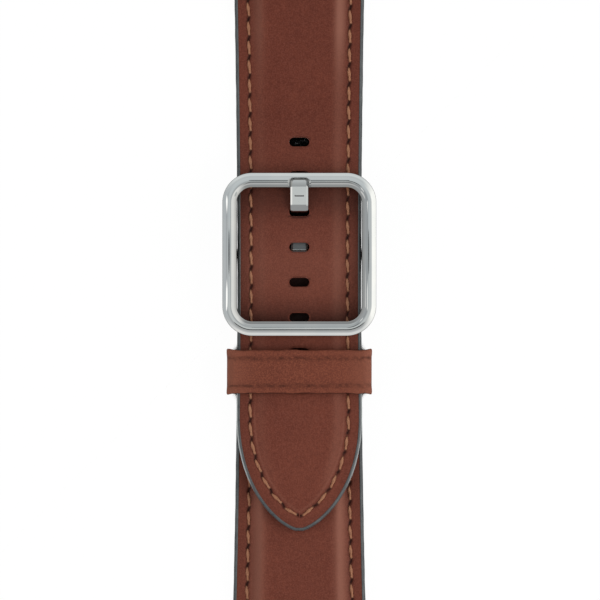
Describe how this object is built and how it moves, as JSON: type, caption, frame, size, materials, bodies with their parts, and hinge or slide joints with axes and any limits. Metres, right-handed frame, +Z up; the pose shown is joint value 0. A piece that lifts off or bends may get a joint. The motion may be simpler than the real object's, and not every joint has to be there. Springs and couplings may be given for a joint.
{
  "type": "leather watch strap",
  "caption": "Two-piece brown leather watch strap with contrast stitching, a polished centre-bar buckle, a keeper and sprung lug bars, fastened and laid flat.",
  "frame": {"origin": "on the table straight below the buckle bar's middle, which is the centre of the underside of the strap's box", "axes": "+X across the strap, +Y along it towards the long piece's lug end, +Z up through the top leather"},
  "size_m": [0.027, 0.1536, 0.0075],
  "materials": {
    "leather": "smooth, fine grain, satin",
    "lining": "matt, fine grain",
    "filler": "fibrous",
    "tape": "woven",
    "edge_coat": "smooth, satin, domed",
    "thread": "waxed, twisted",
    "polished_steel": "mirror polished",
    "bar_steel": "fine turned",
    "spring_steel": "drawn wire"
  },
  "bodies": {
    "leather": {"long_top_leather": "leather", "long_lining": "lining", "long_padding": "filler", "long_edge_coat": "edge_coat", "long_stitching": "thread", "short_top_leather": "leather", "short_lining": "lining", "short_padding": "filler", "short_edge_coat": "edge_coat", "short_stitching": "thread", "hole_tape": "tape", "keeper": "leather", "buckle_bar_tube": "bar_steel", "buckle_bar_spring": "spring_steel"},
    "frame": {"buckle_frame": "polished_steel"},
    "tongue": {"buckle_tongue": "polished_steel"},
    "buckle_left_tip": {"buckle_bar_left_tip": "bar_steel"},
    "buckle_right_tip": {"buckle_bar_right_tip": "bar_steel"},
    "long_lug_bar": {"long_bar_tube": "bar_steel", "long_bar_spring": "spring_steel"},
    "long_left_tip": {"long_bar_left_tip": "bar_steel"},
    "long_right_tip": {"long_bar_right_tip": "bar_steel"},
    "short_lug_bar": {"short_bar_tube": "bar_steel", "short_bar_spring": "spring_steel"},
    "short_left_tip": {"short_bar_left_tip": "bar_steel"},
    "short_right_tip": {"short_bar_right_tip": "bar_steel"}
  },
  "joints": [
    {"name": "frame_rock", "type": "hinge", "parent": "leather", "child": "frame", "pos_m": [0, 0, 0.00165], "axis": [1, 0, 0], "range_deg": [-1.2, 1.2]},
    {"name": "tongue_lift", "type": "hinge", "parent": "frame", "child": "tongue", "pos_m": [0, 0, 0.00165], "axis": [1, 0, 0], "range_deg": [0, 4]},
    {"name": "long_piece_bend", "type": "hinge", "parent": "leather", "child": "long_lug_bar", "pos_m": [0, 0.046, 0.0015], "axis": [1, 0, 0], "range_deg": [-50, 40], "stiffness_Nm_per_rad": 0.02, "deforming": ["long_top_leather", "long_lining", "long_padding", "long_edge_coat", "long_stitching"]},
    {"name": "short_piece_bend", "type": "hinge", "parent": "leather", "child": "short_lug_bar", "pos_m": [0, -0.06, 0.0015], "axis": [1, 0, 0], "range_deg": [-40, 50], "stiffness_Nm_per_rad": 0.02, "deforming": ["short_top_leather", "short_lining", "short_padding", "short_edge_coat", "short_stitching"]},
    {"name": "buckle_left_tip_press", "type": "slide", "parent": "leather", "child": "buckle_left_tip", "axis": [-1, 0, 0], "range_m": [-0.00145, 0], "stiffness_N_per_m": 400, "springref_m": 0.001, "deforming": ["buckle_bar_spring"]},
    {"name": "buckle_right_tip_press", "type": "slide", "parent": "leather", "child": "buckle_right_tip", "axis": [1, 0, 0], "range_m": [-0.00145, 0], "stiffness_N_per_m": 400, "springref_m": 0.001, "deforming": ["buckle_bar_spring"]},
    {"name": "long_left_tip_press", "type": "slide", "parent": "long_lug_bar", "child": "long_left_tip", "axis": [-1, 0, 0], "range_m": [-0.00115, 0], "stiffness_N_per_m": 400, "springref_m": 0.001, "deforming": ["long_bar_spring"]},
    {"name": "long_right_tip_press", "type": "slide", "parent": "long_lug_bar", "child": "long_right_tip", "axis": [1, 0, 0], "range_m": [-0.00115, 0], "stiffness_N_per_m": 400, "springref_m": 0.001, "deforming": ["long_bar_spring"]},
    {"name": "short_left_tip_press", "type": "slide", "parent": "short_lug_bar", "child": "short_left_tip", "axis": [-1, 0, 0], "range_m": [-0.00115, 0], "stiffness_N_per_m": 400, "springref_m": 0.001, "deforming": ["short_bar_spring"]},
    {"name": "short_right_tip_press", "type": "slide", "parent": "short_lug_bar", "child": "short_right_tip", "axis": [1, 0, 0], "range_m": [-0.00115, 0], "stiffness_N_per_m": 400, "springref_m": 0.001, "deforming": ["short_bar_spring"]}
  ]
}
